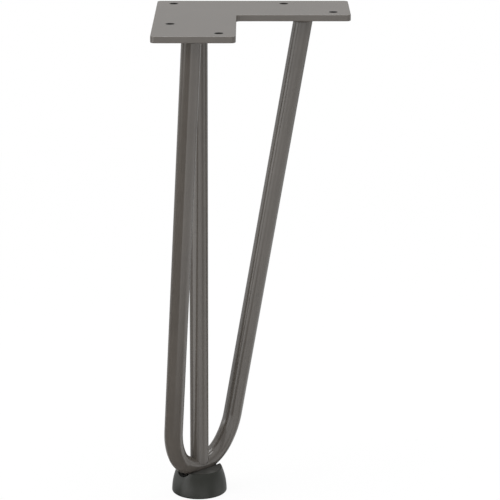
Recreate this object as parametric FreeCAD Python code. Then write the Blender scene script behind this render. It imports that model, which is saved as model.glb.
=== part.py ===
"""Hairpin table leg: an L-shaped screw plate, a bar bent like a hairpin, a straight centre rod and a foot.

The frame's origin lies on the top face of the plate, over the middle of the centre rod. +Z points up into
the table top. The plate's outer corner points to -X and +Y, and its two arms run to +X and to -Y. The
leg is symmetric about the vertical plane through that corner and the middle of the notch. Millimetres.
"""

import FreeCAD, Part
import math
import os

# Plate
plate_side = 120.0
arm_width = 50.0
plate_thickness = 4.0
outer_corner_radius = 2.8
notch_corner_radius = 3.0
plate_edge_round = 0.4
screw_hole_diameter = 5.0
screw_hole_margin = 10.5
inner_hole_margin = 10.0
middle_hole_from_end = 40.5
screw_hole_break = 0.2

# Bars
rod_diameter = 12.0
leg_length = 305.2
centre_rod_from_edge = 26.0
centre_rod_end_from_edge = 25.1
leg_from_edge = 23.5
leg_from_arm_end = 28.0
cope_above_bend_axis = 2.0

# Bend: one tight arc at the bottom between two wider shoulder arcs
bend_from_edge = 24.6
bend_radius = 23.8
bend_half_angle = 58.5
shoulder_radius = 45.0

# Weld beads
plate_weld_size = 4.5
plate_weld_crown = 0.6
bend_weld_size = 2.0
bend_weld_from_angle = 80.0
bend_weld_turn = 52.0

# Foot
foot_from_edge = 25.0
foot_under_bend = 11.5
foot_height = 16.1
foot_bottom_diameter = 36.0
foot_top_diameter = 29.5
foot_edge_round = 0.8
groove_clearance = 0.2
groove_arc_radius = 65.0
seat_gap = 0.2

# Worked out from the sizes above
rod_radius = rod_diameter / 2
underside = -plate_thickness
bend_axis_level = underside - leg_length + rod_radius
bend_underside = underside - leg_length
floor_level = bend_underside - foot_under_bend
across = FreeCAD.Vector(1, 1, 0).normalize()
down = FreeCAD.Vector(0, 0, -1)
up = FreeCAD.Vector(0, 0, 1)
origin = FreeCAD.Vector(0, 0, 0)
spare = 10.0


def on_plate(along, away, level):
    """A point by its distances from the plate's left edge and its back edge."""
    return FreeCAD.Vector(along - centre_rod_from_edge, centre_rod_from_edge - away, level)


rod_top = on_plate(centre_rod_from_edge, centre_rod_from_edge, underside)
rod_end = on_plate(centre_rod_end_from_edge, centre_rod_end_from_edge, bend_axis_level)
rod_heading = (rod_end - rod_top).normalize()
rod_length = (rod_end - rod_top).Length - cope_above_bend_axis
leg_along_arm = plate_side - leg_from_arm_end
leg_top_right = on_plate(leg_along_arm, leg_from_edge, underside)
leg_top_front = on_plate(leg_from_edge, leg_along_arm, underside)
bend_bottom = on_plate(bend_from_edge, bend_from_edge, bend_axis_level)
foot_bottom = on_plate(foot_from_edge, foot_from_edge, floor_level)
leg_tops_middle = (leg_top_right + leg_top_front) * 0.5
half_spread = (leg_top_right - leg_top_front).Length / 2
hairpin_up = (leg_tops_middle - bend_bottom).normalize()
hairpin_height = (leg_tops_middle - bend_bottom).Length


def in_hairpin(sideways, high):
    """A point of the leaning plane that the hairpin lies in, from the bottom of its centre line."""
    return bend_bottom + across * sideways + hairpin_up * high


def arc_point(centre_sideways, centre_high, radius, angle):
    """A point of an arc in the hairpin's plane, by its angle from straight down."""
    return centre_sideways + radius * math.sin(angle), centre_high - radius * math.cos(angle)


def hairpin_points():
    """One side of the centre line from the bend up: bend end, shoulder middle, leg start, leg top."""
    turn = math.radians(bend_half_angle)
    offset = shoulder_radius - bend_radius
    shoulder_centre = (-offset * math.sin(turn), bend_radius + offset * math.cos(turn))
    run_sideways = half_spread - shoulder_centre[0]
    run_high = hairpin_height - shoulder_centre[1]
    leg_angle = math.atan2(run_sideways, run_high)
    leg_angle -= math.asin(shoulder_radius / math.hypot(run_sideways, run_high))
    upright = math.pi / 2 - leg_angle
    return [
        arc_point(0.0, bend_radius, bend_radius, turn),
        arc_point(*shoulder_centre, shoulder_radius, (turn + upright) / 2),
        arc_point(*shoulder_centre, shoulder_radius, upright),
        (half_spread, hairpin_height),
    ]


def hairpin_side(mirror):
    """The same points in space, on the right side of the bar (mirror 1) or on the front side (mirror -1)."""
    return [in_hairpin(mirror * sideways, high) for sideways, high in hairpin_points()]


def carried_on(leg_start, leg_top):
    """A point of the leg's line beyond its top, so that the bar passes through the plate's underside."""
    return leg_top + (leg_top - leg_start).normalize() * spare


def hairpin_path():
    """The centre line of the whole bar, carried on past the plate's underside at both ends."""
    right_bend, right_shoulder, right_start, right_top = hairpin_side(1)
    front_bend, front_shoulder, front_start, front_top = hairpin_side(-1)
    edges = [
        Part.LineSegment(carried_on(front_start, front_top), front_start),
        Part.Arc(front_start, front_shoulder, front_bend),
        Part.Arc(front_bend, bend_bottom, right_bend),
        Part.Arc(right_bend, right_shoulder, right_start),
        Part.LineSegment(right_start, carried_on(right_start, right_top)),
    ]
    return Part.Wire([e.toShape() for e in edges])


def above(level):
    """A block that fills everything above a level, to cut the bars off with."""
    wide = 4 * plate_side
    corner = FreeCAD.Vector(-wide / 2, -wide / 2, level)
    return Part.makeBox(wide, wide, wide, corner)


def make_hairpin_rod():
    """One round bar, bent in its own leaning plane, its two ends cut level to meet the plate."""
    path = hairpin_path()
    first = path.Edges[0]
    start = first.valueAt(first.FirstParameter)
    heading = first.tangentAt(first.FirstParameter)
    section = Part.Wire([Part.Circle(start, heading, rod_radius).toShape()])
    bar = path.makePipeShell([section], True, True)
    return bar.cut(above(underside)).Solids[0]


def make_centre_rod(hairpin):
    """A straight bar from the plate down into the crook of the bend, coped to the bar that it meets."""
    start = rod_top - rod_heading * spare
    bar = Part.makeCylinder(rod_radius, rod_length + spare, start, rod_heading)
    coped = bar.cut(above(underside)).cut(hairpin)
    return max(coped.Solids, key=lambda solid: solid.Volume)


def rounded_outline(points, radii):
    """A closed wire of straight runs joined by tangent arcs, one at each square corner."""
    arcs = []
    for place, (corner, radius) in enumerate(zip(points, radii)):
        before = (points[place - 1] - corner).normalize()
        after = (points[(place + 1) % len(points)] - corner).normalize()
        centre = corner + (before + after) * radius
        middle = centre + (corner - centre).normalize() * radius
        arcs.append((corner + before * radius, middle, corner + after * radius))
    edges = []
    for place, (start, middle, end) in enumerate(arcs):
        next_start, _, _ = arcs[(place + 1) % len(arcs)]
        edges.append(Part.Arc(start, middle, end).toShape())
        edges.append(Part.LineSegment(end, next_start).toShape())
    return Part.Wire(edges)


def make_mounting_plate():
    """The L-shaped plate with rounded corners, edges lightly rounded and five screw holes."""
    corners = [
        (0, 0, outer_corner_radius),
        (plate_side, 0, outer_corner_radius),
        (plate_side, arm_width, outer_corner_radius),
        (arm_width, arm_width, notch_corner_radius),
        (arm_width, plate_side, outer_corner_radius),
        (0, plate_side, outer_corner_radius),
    ]
    points = [on_plate(along, away, underside) for along, away, radius in corners]
    radii = [radius for along, away, radius in corners]
    plate = Part.Face(rounded_outline(points, radii)).extrude(up * plate_thickness)
    flats = [face for face in plate.Faces if face.BoundBox.ZLength < plate_edge_round]
    plate = plate.makeFillet(plate_edge_round, [edge for face in flats for edge in face.Edges])
    for along, away in screw_hole_places():
        plate = plate.cut(screw_hole(on_plate(along, away, underside)))
    return plate.Solids[0]


def screw_hole_places():
    """Five holes: one at the corner, and two on each arm."""
    middle = plate_side - middle_hole_from_end
    far = plate_side - screw_hole_margin
    deep = arm_width - inner_hole_margin
    return [
        (screw_hole_margin, screw_hole_margin),
        (middle, screw_hole_margin),
        (screw_hole_margin, middle),
        (far, deep),
        (deep, far),
    ]


def screw_hole(bottom):
    """The drilled hole with its two lightly broken edges, as a solid to cut away."""
    radius = screw_hole_diameter / 2
    top = bottom + up * plate_thickness
    hole = Part.makeCylinder(radius, plate_thickness + 2 * spare, bottom - up * spare)
    wide = radius + screw_hole_break
    lower = Part.makeCone(wide, radius, screw_hole_break, bottom)
    upper = Part.makeCone(wide, radius, screw_hole_break, top, down)
    return hole.fuse([lower, upper])


def make_plate_weld(top, heading):
    """A fillet bead round a bar end, against the underside of the plate. The bar runs down along heading."""
    widths = [plate_weld_size, plate_weld_size / 2 + plate_weld_crown, plate_weld_crown / 2]
    depths = [0.0, plate_weld_size / 2, plate_weld_size]
    rings = []
    for width, depth in zip(widths, depths):
        centre = top - heading * (depth / heading.z)
        rings.append(Part.Wire([Part.Circle(centre, up, rod_radius + width).toShape()]))
    bead = Part.makeLoft(rings, True, False)
    bar = Part.makeCylinder(rod_radius, 2 * spare + plate_weld_size, top - heading * spare, heading)
    return bead.cut(bar).Solids[0]


def make_bend_weld(hairpin, rod):
    """A short bead behind the joint between the centre rod and the bend, in the crook of the two bars."""
    crook = bend_axis_level + rod_radius
    low = crook - rod_radius / 2
    outer = rod_radius + bend_weld_size
    profile = [
        FreeCAD.Vector(0, 0, low),
        FreeCAD.Vector(outer, 0, low),
        FreeCAD.Vector(outer, 0, crook - bend_weld_size / 2),
        FreeCAD.Vector(rod_radius, 0, crook + bend_weld_size),
        FreeCAD.Vector(0, 0, crook + bend_weld_size),
    ]
    face = Part.Face(Part.makePolygon(profile + profile[:1]))
    face.rotate(origin, up, bend_weld_from_angle)
    wedge = face.revolve(origin, up, bend_weld_turn)
    wedge.translate(FreeCAD.Vector(rod_end.x, rod_end.y, 0))
    bead = wedge.cut(hairpin).cut(rod)
    return max(bead.Solids, key=lambda solid: solid.Volume)


def make_groove():
    """The space that the bend needs in the foot: a bar a little fatter and less bent, to cut away."""
    reach = foot_bottom_diameter
    radius = rod_radius + groove_clearance
    sag = groove_arc_radius - math.sqrt(groove_arc_radius ** 2 - reach ** 2)
    low = FreeCAD.Vector(bend_bottom.x, bend_bottom.y, bend_underside - seat_gap + radius)
    lean = hairpin_up * (sag / hairpin_up.z)
    path = Part.Wire([Part.Arc(low - across * reach + lean, low, low + across * reach + lean).toShape()])
    edge = path.Edges[0]
    start = edge.valueAt(edge.FirstParameter)
    heading = edge.tangentAt(edge.FirstParameter)
    section = Part.Wire([Part.Circle(start, heading, radius).toShape()])
    return path.makePipeShell([section], True, True)


def make_foot():
    """A moulded foot with bowed sides and a round groove across its top that the bend sits in."""
    top_radius = foot_top_diameter / 2
    bottom_radius = foot_bottom_diameter / 2
    bow = bottom_radius - top_radius
    bow_radius = (bow * bow + foot_height * foot_height) / (2 * bow)
    middle = foot_height / 2
    middle_radius = bottom_radius - bow_radius + math.sqrt(bow_radius * bow_radius - middle * middle)
    rim = FreeCAD.Vector(bottom_radius, 0, 0)
    bowed = FreeCAD.Vector(middle_radius, 0, middle)
    shoulder = FreeCAD.Vector(top_radius, 0, foot_height)
    peak = FreeCAD.Vector(0, 0, foot_height)
    outline = [
        Part.LineSegment(origin, rim),
        Part.Arc(rim, bowed, shoulder),
        Part.LineSegment(shoulder, peak),
        Part.LineSegment(peak, origin),
    ]
    face = Part.Face(Part.Wire([e.toShape() for e in outline]))
    body = face.revolve(origin, up, 360)
    rims = [e for e in body.Edges if e.Closed and e.Vertexes[0].Z < middle]
    body = body.makeFillet(foot_edge_round, rims)
    body.translate(foot_bottom)
    return body.cut(make_groove()).Solids[0]


def main():
    os.makedirs("parts", exist_ok=True)
    hairpin = make_hairpin_rod()
    rod = make_centre_rod(hairpin)
    _, _, right_start, right_top = hairpin_side(1)
    _, _, front_start, front_top = hairpin_side(-1)
    right_heading = (right_start - right_top).normalize()
    front_heading = (front_start - front_top).normalize()
    nodes = {
        "mounting_plate": make_mounting_plate(),
        "hairpin_rod": hairpin,
        "centre_rod": rod,
        "weld_right_leg": make_plate_weld(right_top, right_heading),
        "weld_front_leg": make_plate_weld(front_top, front_heading),
        "weld_centre_rod": make_plate_weld(rod_top, rod_heading),
        "weld_bend": make_bend_weld(hairpin, rod),
        "foot": make_foot(),
    }
    for name, shape in nodes.items():
        print(name, shape.ShapeType, shape.isValid(), round(shape.Volume, 1))
        shape.exportStep(f"parts/{name}.step")


main()
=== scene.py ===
"""Looks of the hairpin table leg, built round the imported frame.

The plate, the two bars and the foot are the frame's own meshes with new materials. The four weld beads are
modelled here with their ripples, each in the place of its smooth solid.
"""

import math

import bpy
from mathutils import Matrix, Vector


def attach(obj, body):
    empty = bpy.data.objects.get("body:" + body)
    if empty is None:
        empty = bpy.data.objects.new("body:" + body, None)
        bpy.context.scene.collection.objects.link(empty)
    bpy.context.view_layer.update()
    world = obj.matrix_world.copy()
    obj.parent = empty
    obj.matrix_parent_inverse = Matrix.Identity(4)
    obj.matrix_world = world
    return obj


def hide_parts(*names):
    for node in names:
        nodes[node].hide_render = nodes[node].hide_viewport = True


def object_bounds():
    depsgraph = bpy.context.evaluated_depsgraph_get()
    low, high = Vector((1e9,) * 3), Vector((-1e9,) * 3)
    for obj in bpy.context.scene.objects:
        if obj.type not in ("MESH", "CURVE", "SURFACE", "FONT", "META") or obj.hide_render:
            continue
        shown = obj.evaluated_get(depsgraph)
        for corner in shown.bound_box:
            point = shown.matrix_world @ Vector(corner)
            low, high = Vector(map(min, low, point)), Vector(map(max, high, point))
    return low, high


MILLIMETRES = 1000.0
WHITE = (1.0, 1.0, 1.0, 1.0)

# Camera that took the photograph: its place in metres, its degrees below level, its lens and sensor in
# millimetres, and the nearest and farthest that it sees, in metres
CAMERA_PLACE = (0.0323, -1.4295, 0.2564)
CAMERA_DOWN = 16.103
CAMERA_LENS = 167.65
CAMERA_SENSOR = 36.0
CAMERA_RANGE = (0.05, 50.0)

# Lamps: place, aim, width and height in metres, and power in watts
LAMPS = {
    "overhead": ((0.1, 0.2, 1.9), (0.0, 0.0, -0.1), 1.8, 1.8, 36.0),
    "left_fill": ((-1.7, -0.9, 0.7), (0.0, 0.0, -0.15), 0.9, 1.4, 10.0),
    "front_fill": ((0.5, -2.4, 1.1), (0.0, 0.0, -0.15), 1.6, 1.2, 12.0),
}

# Floor, in metres. Its white is how much of it the camera sees as plain white, near the foot and far from it,
# and that changes between two distances from the origin
FLOOR_SIZE = 8.0
FLOOR_COLOUR = (0.86, 0.86, 0.86, 1.0)
FLOOR_WHITE = (0.92, 1.0)
FLOOR_WHITE_FROM = (0.45, 1.0)

# Noises: scale, detail and roughness. The stops are the noise values of the darkest and the lightest tone,
# and the grain's depth is in metres
METAL_CLOUDS = (38.0, 5.0, 0.6)
METAL_GRAIN = (1400.0, 3.0, 0.55)
PLASTIC_CLOUDS = (60.0, 4.0, 0.5)
PLASTIC_GRAIN = (2600.0, 2.0, 0.5)
CLOUD_STOPS = (0.3, 0.7)
GRAIN_DEPTH = 0.0002

# Coated metal. The spread is how far its tone strays to each side
METAL_COLOUR = (0.094, 0.083, 0.072, 1.0)
METAL_SPREAD = 0.06
METAL_IOR = 1.6
METAL_GRAIN_STRENGTH = 0.05
BAR_ROUGHNESS = 0.13
PLATE_ROUGHNESS = 0.26
WELD_ROUGHNESS = 0.2
ROUGHNESS_SPREAD = 0.03

# Screw holes, in millimetres: their middles, and the distances from a middle over which the painted shade
# inside them ends. The painted shade, a share of the metal's colour, stands in for the shadow in the holes
SCREW_HOLES = [(-15.5, 15.5), (53.5, 15.5), (-15.5, -53.5), (83.5, -14.0), (14.0, -83.5)]
SCREW_HOLE_EDGE = (2.72, 2.80)
SCREW_HOLE_PAINTED_SHADE = 0.05
SCREW_HOLE_ROUGHNESS = 0.9

# Moulded foot, whose top and channel are painted a paler grey than its outside: a painted highlight on the
# lip and painted light in the channel. Its middle, and the distances from the middle over which the outside
# begins, in millimetres
FOOT_COLOUR = (0.0110, 0.0120, 0.0080, 1.0)
FOOT_PAINTED_LIGHT_COLOUR = (0.046, 0.046, 0.042, 1.0)
FOOT_MIDDLE = (-1.0, 1.0)
FOOT_TOP_EDGE = (13.7, 14.6)
PLASTIC_SPREAD = 0.08
PLASTIC_ROUGHNESS = 0.33
PLASTIC_IOR = 1.48
PLASTIC_GRAIN_STRENGTH = 0.2

# Weld beads under the plate, in millimetres. The profile is how far a bead stands out from the bar at each
# depth under the plate, and its back lies a little inside the bar
PLATE_WELDS = ("weld_right_leg", "weld_front_leg", "weld_centre_rod")
ROD_RADIUS = 6.0
WELD_PROFILE = [(0.0, 4.48), (2.25, 2.83), (4.48, 0.28)]
WELD_INSIDE_BAR = 0.1
LEVEL_TOLERANCE = 0.001

# Coins of those beads. The grooves between them bow by a share of a coin and fade out towards the plate and,
# but for what is left there, towards the bar
RING_COINS = 27
RING_COIN_STEPS = 14
RING_ROWS = 16
RING_GROOVE = 0.38
RING_BOW = 0.9
RING_FADE = 5.0
RING_LEFT_AT_BAR = 0.15
COIN_ROUNDNESS = 0.7

# Bend of the hairpin, in millimetres: the lowest point of its centre line, its radius and the level direction
# in its plane. Its surface is found by lowering a point to it from a level above, so many times
BEND_BOTTOM = Vector((-1.4, 1.4, -303.2))
BEND_RADIUS = 23.8
BEND_SIDEWAYS = Vector((1.0, 1.0, 0.0)).normalized()
ABOVE_BEND = -290.0
LOWERINGS = 30

# Bead behind the joint of the centre rod and the bend: a tube a little above and outside the line where the
# two bars meet. The rod's middle there in millimetres, the stops of the line in degrees round it, and how far
# above and outside the tube runs
JOINT_MIDDLE = (-0.9, 0.9)
JOINT_STOPS = (78.0, 84.0, 90.0, 100.0, 110.0, 120.0, 128.0, 134.0)
JOINT_ABOVE = 0.35
JOINT_OUTSIDE = 0.25

# The tube's section and coins. The ends and the grooves are shares of its radius, and the grooves are skewed
# by a share of a coin
JOINT_RADIUS = 1.25
JOINT_SIDES = 20
JOINT_END = 0.05
JOINT_BLUNTNESS = 6
JOINT_COINS = 7
JOINT_COIN_STEPS = 12
JOINT_GROOVE = 0.22
JOINT_SKEW = 0.25

# Studio that only gloss sees: brightness by compass angle, in degrees from the front towards the right, in
# four bands from the lowest directions to the highest. A direction's rise is the sine of its height, and each
# band takes over from the one below it between two rises
LOW_STUDIO = [
    (-180, 0.50), (-130, 0.50), (-116, 0.10), (-4, 0.12), (3, 1.15), (16, 1.15), (26, 1.00), (60, 1.00),
    (130, 0.85), (180, 0.50)]
LEVEL_STUDIO = [
    (-180, 0.45), (-116, 0.40), (-97, 0.25), (-87, 0.30), (-79, 1.20), (-70, 1.95), (-58, 1.90), (-50, 1.75),
    (-42, 1.85), (-31, 1.55), (-19, 1.30), (-11, 1.00), (-2, 1.20), (8, 1.32), (32, 1.28), (47, 0.50),
    (57, 0.45), (70, 1.05), (95, 1.15), (112, 0.50), (180, 0.45)]
HIGH_STUDIO = [
    (-180, 0.54), (-125, 0.70), (-112, 1.05), (-95, 1.00), (-88, 0.25), (-80, 0.30), (-73, 1.85), (-65, 2.20),
    (-57, 1.65), (-50, 1.60), (-41, 1.80), (-26, 1.40), (-14, 0.98), (0, 1.20), (10, 1.25), (31, 1.08),
    (46, 0.45), (57, 0.40), (70, 1.05), (94, 1.10), (112, 0.60), (180, 0.54)]
TOP_STUDIO = [
    (-180, 0.54), (-130, 0.70), (-110, 1.20), (-94, 2.35), (-46, 2.50), (-30, 1.40), (-12, 1.20), (60, 1.05),
    (90, 0.90), (180, 0.54)]
LEVEL_FROM = (-0.375, -0.350)
HIGH_FROM = (-0.26, -0.22)
TOP_FROM = (-0.09, -0.06)
BRIGHTEST = 2.5

# Above the bands the sky brightens over its own rises. Below them lies the dark ground, whose edge is higher
# towards the right
SKY = (0.53, 1.15)
SKY_RISE = (0.35, 0.65)
SKY_FROM = (0.03, 0.09)
GROUND = 0.12
GROUND_EDGE = (-0.636, -0.602)
GROUND_RIGHT = 0.17
GROUND_RIGHT_POWER = 4.0

# Even light round the object, for all but gloss and the camera
SURROUND_LIGHT = 0.5

# A mix node's sockets, by what it mixes: the first of its two values and its result
MIX_SOCKETS = {"FLOAT": (2, 0), "RGBA": (6, 2)}


def plain_list(box):
    """A box as plain lists of numbers."""
    return [[float(x) for x in corner] for corner in box]


def scaled(colour, by):
    """A colour made darker or lighter."""
    return (colour[0] * by, colour[1] * by, colour[2] * by, 1.0)


def feed(tree, node, inputs):
    """Give a node its inputs: another node's output is linked, and a plain value is written in."""
    for socket, value in inputs.items():
        if isinstance(value, bpy.types.NodeSocket):
            tree.links.new(value, node.inputs[socket])
        else:
            node.inputs[socket].default_value = value


def add_node(tree, kind, inputs, operation=None):
    """A shader node of one kind, with its operation where it has one, and its inputs."""
    node = tree.nodes.new(kind)
    if operation:
        node.operation = operation
    feed(tree, node, inputs)
    return node


def maths(tree, operation, first, second):
    return add_node(tree, "ShaderNodeMath", {0: first, 1: second}, operation).outputs[0]


def ranged(tree, value, span, result=(0.0, 1.0)):
    """A value's place in a span as a value from the first result to the second, and no farther."""
    low, high = span
    first, second = result
    inputs = {"Value": value, "From Min": low, "From Max": high, "To Min": first, "To Max": second}
    return add_node(tree, "ShaderNodeMapRange", inputs).outputs["Result"]


def mix(tree, kind, factor, first, second):
    """A blend of two numbers, or of two colours where kind is RGBA."""
    node = tree.nodes.new("ShaderNodeMix")
    node.data_type = kind
    place, result = MIX_SOCKETS[kind]
    feed(tree, node, {0: factor, place: first, place + 1: second})
    return node.outputs[result]


def mix_shaders(tree, factor, first, second):
    return add_node(tree, "ShaderNodeMixShader", {0: factor, 1: first, 2: second}).outputs["Shader"]


def noise(tree, coords, settings):
    scale, detail, roughness = settings
    inputs = {"Vector": coords, "Scale": scale, "Detail": detail, "Roughness": roughness}
    return add_node(tree, "ShaderNodeTexNoise", inputs).outputs["Fac"]


def clouded(tree, clouds, colour, spread):
    """A colour whose tone strays a little to each side with a noise."""
    node = add_node(tree, "ShaderNodeValToRGB", {"Fac": clouds})
    for element, place, by in zip(node.color_ramp.elements, CLOUD_STOPS, (1.0 - spread, 1.0 + spread)):
        element.color = scaled(colour, by)
        element.position = place
    return node.outputs["Color"]


def near(tree, coords, middles, edge):
    """1 near any of some middles seen from above, falling to 0 between the two distances of the edge."""
    inputs = {0: coords, 1: (MILLIMETRES, MILLIMETRES, 0.0)}
    flat = add_node(tree, "ShaderNodeVectorMath", inputs, "MULTIPLY").outputs["Vector"]
    nearest = None
    for x, y in middles:
        inputs = {0: flat, 1: (x, y, 0.0)}
        distance = add_node(tree, "ShaderNodeVectorMath", inputs, "DISTANCE").outputs["Value"]
        nearest = distance if nearest is None else maths(tree, "MINIMUM", nearest, distance)
    return ranged(tree, nearest, edge, (1.0, 0.0))


def new_material(name):
    """An empty node material: the material, its node tree and the object's own coordinates."""
    material = bpy.data.materials.new(name)
    material.use_nodes = True
    tree = material.node_tree
    tree.nodes.clear()
    return material, tree, add_node(tree, "ShaderNodeTexCoord", {}).outputs["Object"]


def finish_surface(tree, colour, roughness, ior, grain, strength):
    """The shader of a surface with a fine grain, joined to the material's output."""
    bump = add_node(tree, "ShaderNodeBump", {"Strength": strength, "Distance": GRAIN_DEPTH, "Height": grain})
    inputs = {"Base Color": colour, "Roughness": roughness, "IOR": ior, "Normal": bump.outputs["Normal"]}
    shader = add_node(tree, "ShaderNodeBsdfPrincipled", inputs)
    add_node(tree, "ShaderNodeOutputMaterial", {"Surface": shader.outputs["BSDF"]})


def coated_metal(name, roughness, holes=False):
    """Satin coated metal with an orange-peel grain, with painted shade and dullness in its screw holes if
    any.
    """
    material, tree, coords = new_material(name)
    grain = noise(tree, coords, METAL_GRAIN)
    colour = clouded(tree, noise(tree, coords, METAL_CLOUDS), METAL_COLOUR, METAL_SPREAD)
    dull = ranged(tree, grain, (0.0, 1.0), (roughness - ROUGHNESS_SPREAD, roughness + ROUGHNESS_SPREAD))
    if holes:
        # Painted shade: the colour darkens inside the screw holes and on their edges, standing in for the
        # shadow there
        inside = near(tree, coords, SCREW_HOLES, SCREW_HOLE_EDGE)
        colour = mix(tree, "RGBA", inside, colour, scaled(METAL_COLOUR, SCREW_HOLE_PAINTED_SHADE))
        dull = maths(tree, "MAXIMUM", dull, maths(tree, "MULTIPLY", inside, SCREW_HOLE_ROUGHNESS))
    finish_surface(tree, colour, dull, METAL_IOR, grain, METAL_GRAIN_STRENGTH)
    return material


def moulded_plastic(name):
    """The foot's plastic, with a fine grain, and a painted highlight and painted light on its top and
    channel.
    """
    material, tree, coords = new_material(name)
    grain = noise(tree, coords, PLASTIC_GRAIN)
    outside = clouded(tree, noise(tree, coords, PLASTIC_CLOUDS), FOOT_COLOUR, PLASTIC_SPREAD)
    # Painted light: the top and channel are coloured paler than the outside, as a painted highlight on the
    # lip and painted light in the channel
    top = near(tree, coords, [FOOT_MIDDLE], FOOT_TOP_EDGE)
    colour = mix(tree, "RGBA", top, outside, FOOT_PAINTED_LIGHT_COLOUR)
    finish_surface(tree, colour, PLASTIC_ROUGHNESS, PLASTIC_IOR, grain, PLASTIC_GRAIN_STRENGTH)
    return material


def dress(node, material):
    node.data.materials.clear()
    node.data.materials.append(material)


def new_object(name, data):
    thing = bpy.data.objects.new(name, data)
    bpy.context.scene.collection.objects.link(thing)
    return thing


def new_piece(name, corners, faces, material):
    mesh = bpy.data.meshes.new(name)
    mesh.from_pydata(corners, [], faces)
    mesh.polygons.foreach_set("use_smooth", [True] * len(faces))
    mesh.materials.append(material)
    return new_object(name, mesh)


def around(turn):
    """The level direction at an angle in radians."""
    return Vector((math.cos(turn), math.sin(turn), 0.0))


def between(pairs, place):
    """The value at a place, from pairs of place and value with straight runs between them."""
    for (first, low), (second, high) in zip(pairs, pairs[1:]):
        if place <= second:
            return low + (high - low) * (place - first) / (second - first)
    return pairs[-1][1]


def groove(phase):
    """How deep a bead's surface is in the groove between two coins: 1 at each whole number, 0 on a crown."""
    return 1.0 - abs(math.sin(math.pi * phase)) ** COIN_ROUNDNESS


def quads(rings, sides, closed=False):
    """Faces between neighbouring rings of corners, and from the last ring to the first where it is closed."""
    faces = []
    for ring in range(rings if closed else rings - 1):
        below = (ring + 1) % rings
        for side in range(sides):
            after = (side + 1) % sides
            faces.append((ring * sides + side, below * sides + side,
                          below * sides + after, ring * sides + after))
    return faces


def level_middle(corners, level):
    """The middle of the box round the corners that a solid has at one level."""
    ring = [corner.xy for corner in corners if abs(corner.z - level) < LEVEL_TOLERANCE]
    low = [min(values) for values in zip(*ring)]
    high = [max(values) for values in zip(*ring)]
    return Vector(((low[0] + high[0]) / 2, (low[1] + high[1]) / 2, level))


def end_middles(solid):
    """The middles of a solid's top and bottom, in millimetres."""
    corners = [corner.co * MILLIMETRES for corner in solid.data.vertices]
    levels = [corner.z for corner in corners]
    return level_middle(corners, max(levels)), level_middle(corners, min(levels))


def plate_bead(name, solid, material):
    """A rippled bead round a bar's end under the plate, on the axis of the frame's smooth solid."""
    top, bottom = end_middles(solid)
    sides = RING_COINS * RING_COIN_STEPS
    deepest = WELD_PROFILE[-1][0]
    rings = []
    for row in range(RING_ROWS + 1):
        part = row / RING_ROWS
        outside = ROD_RADIUS + between(WELD_PROFILE, deepest * part)
        bow = RING_BOW * (part - 0.5) ** 2
        cut = RING_GROOVE * min(1.0, RING_FADE * part, RING_FADE * (1.0 - part) + RING_LEFT_AT_BAR)
        radii = [outside - cut * groove(side / RING_COIN_STEPS + bow) for side in range(sides)]
        rings.append((deepest * part, radii))
    back = [ROD_RADIUS - WELD_INSIDE_BAR] * sides
    rings += [(deepest, back), (0.0, back)]
    places = []
    for depth, radii in rings:
        middle = top.lerp(bottom, depth / (top.z - bottom.z))
        for side, radius in enumerate(radii):
            places.append((middle + around(2 * math.pi * side / sides) * radius) / MILLIMETRES)
    return new_piece(name, places, quads(len(rings), sides, closed=True), material)


def bend_height(start, upward):
    """The height of the bend under a point, lowered by its distance from the bar until it rests there."""
    middle = BEND_BOTTOM + upward * BEND_RADIUS
    through = BEND_SIDEWAYS.cross(upward)
    place = start.copy()
    for _ in range(LOWERINGS):
        offset = place - middle
        from_arc = math.hypot(offset.dot(BEND_SIDEWAYS), offset.dot(upward)) - BEND_RADIUS
        place.z -= math.hypot(from_arc, offset.dot(through)) - ROD_RADIUS
    return place.z


def joint_line(hairpin):
    """The height of the bend at the rod's side, as pairs of angle round the rod and height."""
    ends, _ = end_middles(hairpin)
    upward = (ends - BEND_BOTTOM).normalized()
    pairs = []
    for angle in JOINT_STOPS:
        start = Vector((*JOINT_MIDDLE, ABOVE_BEND)) + around(math.radians(angle)) * ROD_RADIUS
        pairs.append((angle, bend_height(start, upward)))
    return pairs


def joint_bead(name, hairpin, material):
    """A short rippled bead in the crook behind the joint of the centre rod and the bend."""
    line = joint_line(hairpin)
    first, last = JOINT_STOPS[0], JOINT_STOPS[-1]
    steps = JOINT_COINS * JOINT_COIN_STEPS
    centres, outward = [], []
    for step in range(steps + 1):
        angle = first + (last - first) * step / steps
        outward.append(around(math.radians(angle)))
        height = between(line, angle) + JOINT_ABOVE
        centres.append(Vector((*JOINT_MIDDLE, height)) + outward[-1] * (ROD_RADIUS + JOINT_OUTSIDE))
    places = []
    for step, (centre, out) in enumerate(zip(centres, outward)):
        part = step / steps
        ahead = centres[min(step + 1, steps)] - centres[max(step - 1, 0)]
        upward = ahead.cross(out).normalized()
        taper = math.sqrt(max(0.0, 1.0 - (2 * part - 1) ** JOINT_BLUNTNESS))
        thick = JOINT_RADIUS * (JOINT_END + (1.0 - JOINT_END) * taper)
        for side in range(JOINT_SIDES):
            turn = -2 * math.pi * side / JOINT_SIDES
            hollow = JOINT_GROOVE * groove(JOINT_COINS * part + JOINT_SKEW * math.sin(turn))
            spoke = out * math.cos(turn) + upward * math.sin(turn)
            places.append((centre + spoke * thick * (1.0 - hollow)) / MILLIMETRES)
    faces = quads(steps + 1, JOINT_SIDES)
    faces.append(tuple(range(JOINT_SIDES)))
    faces.append(tuple(reversed(range(steps * JOINT_SIDES, (steps + 1) * JOINT_SIDES))))
    return new_piece(name, places, faces, material)


def make_camera():
    data = bpy.data.cameras.new("camera")
    data.sensor_width = CAMERA_SENSOR
    data.lens = CAMERA_LENS
    data.clip_start, data.clip_end = CAMERA_RANGE
    camera = new_object("camera", data)
    camera.location = CAMERA_PLACE
    camera.rotation_euler = (math.radians(90.0 - CAMERA_DOWN), 0.0, 0.0)
    bpy.context.scene.camera = camera


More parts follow.
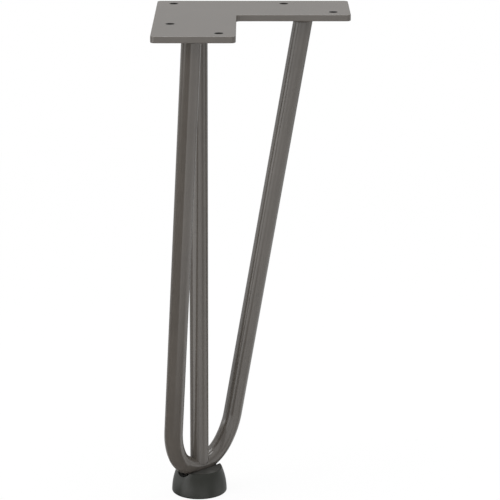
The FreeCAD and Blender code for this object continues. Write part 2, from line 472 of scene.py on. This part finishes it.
def make_floor(level):
    """A matt floor that gloss doesn't see, and that the camera sees as nearly or wholly plain white."""
    material, tree, coords = new_material("floor_white")
    far = add_node(tree, "ShaderNodeVectorMath", {0: coords}, "LENGTH").outputs["Value"]
    camera_ray = add_node(tree, "ShaderNodeLightPath", {}).outputs["Is Camera Ray"]
    white = maths(tree, "MULTIPLY", camera_ray, ranged(tree, far, FLOOR_WHITE_FROM, FLOOR_WHITE))
    matt = add_node(tree, "ShaderNodeBsdfDiffuse", {"Color": FLOOR_COLOUR}).outputs["BSDF"]
    glow = add_node(tree, "ShaderNodeEmission", {"Color": WHITE, "Strength": 1.0}).outputs["Emission"]
    add_node(tree, "ShaderNodeOutputMaterial", {"Surface": mix_shaders(tree, white, matt, glow)})
    half = FLOOR_SIZE / 2
    corners = [(-half, -half, level), (half, -half, level), (half, half, level), (-half, half, level)]
    floor = new_piece("floor", corners, [(0, 1, 2, 3)], material)
    floor.visible_glossy = False


def make_lamp(name, place, target, width, height, power):
    data = bpy.data.lights.new(name, "AREA")
    data.shape = "RECTANGLE"
    data.size = width
    data.size_y = height
    data.energy = power
    lamp = new_object(name, data)
    lamp.location = place
    lamp.rotation_euler = (Vector(target) - Vector(place)).to_track_quat("-Z", "Y").to_euler()
    return lamp


def compass_band(tree, turn, stops):
    """Brightness by compass angle. The ramp holds shares of the brightest value, since it stops at 1."""
    node = add_node(tree, "ShaderNodeValToRGB", {"Fac": turn})
    ramp = node.color_ramp
    while len(ramp.elements) < len(stops):
        ramp.elements.new(0.5)
    for element, (angle, value) in zip(ramp.elements, stops):
        element.position = (angle + 180.0) / 360.0
        element.color = scaled(WHITE, value / BRIGHTEST)
    return maths(tree, "MULTIPLY", node.outputs["Color"], BRIGHTEST)


def background(tree, strength):
    inputs = {"Color": WHITE, "Strength": strength}
    return add_node(tree, "ShaderNodeBackground", inputs).outputs["Background"]


def studio_brightness(tree):
    """The studio by direction: the ground, the four bands and the sky."""
    direction = add_node(tree, "ShaderNodeTexCoord", {}).outputs["Generated"]
    across, away, rise = add_node(tree, "ShaderNodeSeparateXYZ", {0: direction}).outputs
    turn = maths(tree, "ARCTAN2", across, maths(tree, "MULTIPLY", away, -1.0))
    turn = ranged(tree, turn, (-math.pi, math.pi))
    right = maths(tree, "POWER", maths(tree, "MAXIMUM", across, 0.0), GROUND_RIGHT_POWER)
    above_ground = maths(tree, "SUBTRACT", rise, maths(tree, "MULTIPLY", right, GROUND_RIGHT))
    low = compass_band(tree, turn, LOW_STUDIO)
    studio = mix(tree, "FLOAT", ranged(tree, above_ground, GROUND_EDGE), GROUND, low)
    for stops, rises in ((LEVEL_STUDIO, LEVEL_FROM), (HIGH_STUDIO, HIGH_FROM), (TOP_STUDIO, TOP_FROM)):
        band = compass_band(tree, turn, stops)
        studio = mix(tree, "FLOAT", ranged(tree, rise, rises), studio, band)
    return mix(tree, "FLOAT", ranged(tree, rise, SKY_FROM), studio, ranged(tree, rise, SKY_RISE, SKY))


def make_world():
    """White to the camera, the studio to gloss and an even light to everything else."""
    world = bpy.data.worlds.new("studio")
    bpy.context.scene.world = world
    world.use_nodes = True
    tree = world.node_tree
    tree.nodes.clear()
    path = add_node(tree, "ShaderNodeLightPath", {}).outputs
    even = background(tree, SURROUND_LIGHT)
    studio = background(tree, studio_brightness(tree))
    unseen = mix_shaders(tree, path["Is Glossy Ray"], even, studio)
    seen = mix_shaders(tree, path["Is Camera Ray"], unseen, background(tree, 1.0))
    add_node(tree, "ShaderNodeOutputWorld", {"Surface": seen})


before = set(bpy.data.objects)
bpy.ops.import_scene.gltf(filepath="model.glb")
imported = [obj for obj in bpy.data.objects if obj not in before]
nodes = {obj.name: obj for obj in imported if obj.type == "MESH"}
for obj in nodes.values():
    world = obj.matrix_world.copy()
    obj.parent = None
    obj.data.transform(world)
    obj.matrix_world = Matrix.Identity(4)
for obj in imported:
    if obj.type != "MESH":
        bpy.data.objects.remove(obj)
cad_box = plain_list(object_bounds())

bar_metal = coated_metal("bar_metal", BAR_ROUGHNESS)
plate_metal = coated_metal("plate_metal", PLATE_ROUGHNESS, holes=True)
weld_metal = coated_metal("weld_metal", WELD_ROUGHNESS)
foot_plastic = moulded_plastic("foot_plastic")

dress(nodes["mounting_plate"], plate_metal)
dress(nodes["hairpin_rod"], bar_metal)
dress(nodes["centre_rod"], bar_metal)
dress(nodes["foot"], foot_plastic)

beads = {node: plate_bead("rippled_" + node, nodes[node], weld_metal) for node in PLATE_WELDS}
beads["weld_bend"] = joint_bead("rippled_weld_bend", nodes["hairpin_rod"], weld_metal)
for node, piece in beads.items():
    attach(piece, "root")
    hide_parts(node)

make_camera()
make_floor(cad_box[0][2])
make_world()
lamps = {name: make_lamp(name, *settings) for name, settings in LAMPS.items()}
lamps["front_fill"].visible_glossy = False

bpy.context.scene.view_settings.view_transform = "Standard"
